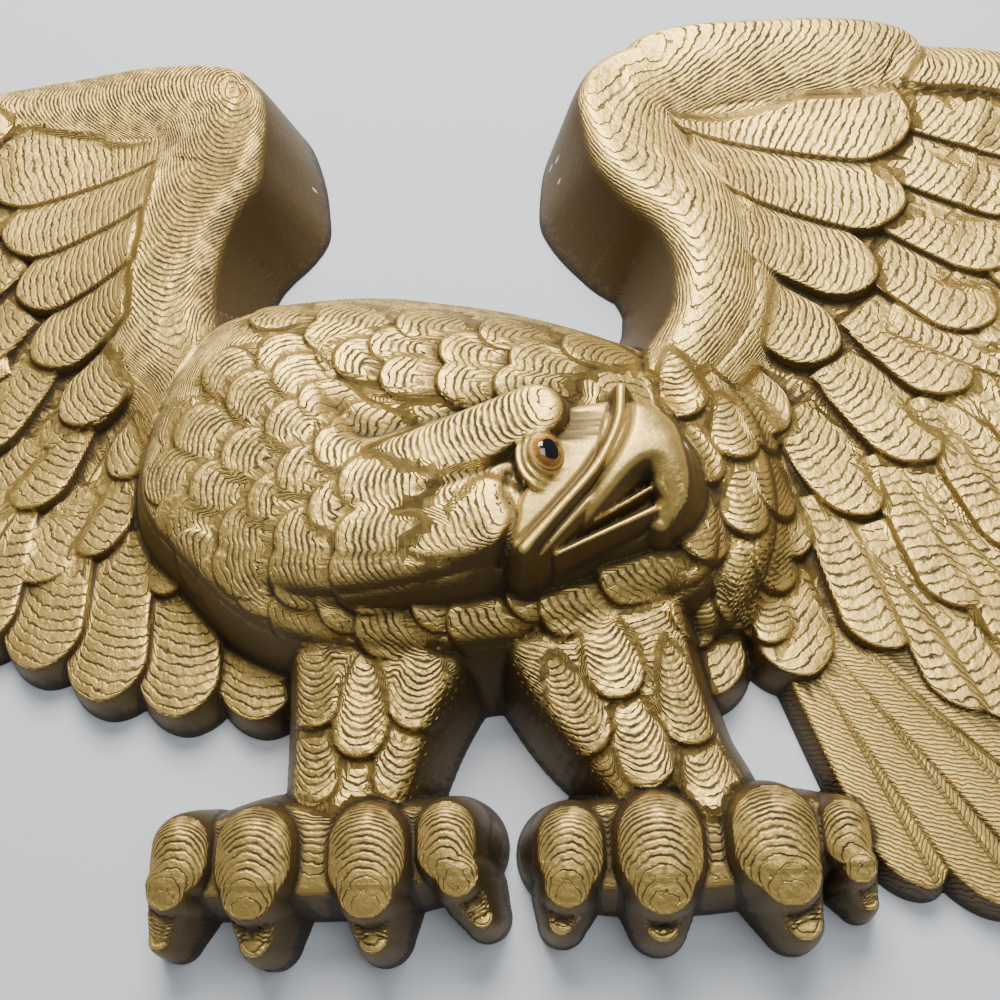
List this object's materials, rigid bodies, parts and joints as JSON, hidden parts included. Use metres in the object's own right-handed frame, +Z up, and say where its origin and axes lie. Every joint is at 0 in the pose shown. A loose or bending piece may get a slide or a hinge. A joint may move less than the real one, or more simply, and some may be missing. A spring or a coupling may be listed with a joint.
{
  "type": "eagle wall plaque",
  "caption": "Gilded cast eagle for a wall, in high relief: wings raised, body turned, head bent to one side with an inset glass eye, talons below.",
  "frame": {"origin": "on the flat back, the face that lies against the wall, behind the middle of the body", "axes": "+Y out of the back into the wall, +Z up the wall, +X to the right of a viewer who faces the plaque"},
  "size_m": [0.8012, 0.0862, 0.4242],
  "materials": {
    "gilded_casting": "old gold paint on a cast body, with brown in the hollows and on the side walls",
    "eye_glass": "polished amber glass with a black pupil"
  },
  "bodies": {
    "root": {"eagle_casting": "gilded_casting", "glass_eye": "eye_glass"}
  },
  "joints": []
}
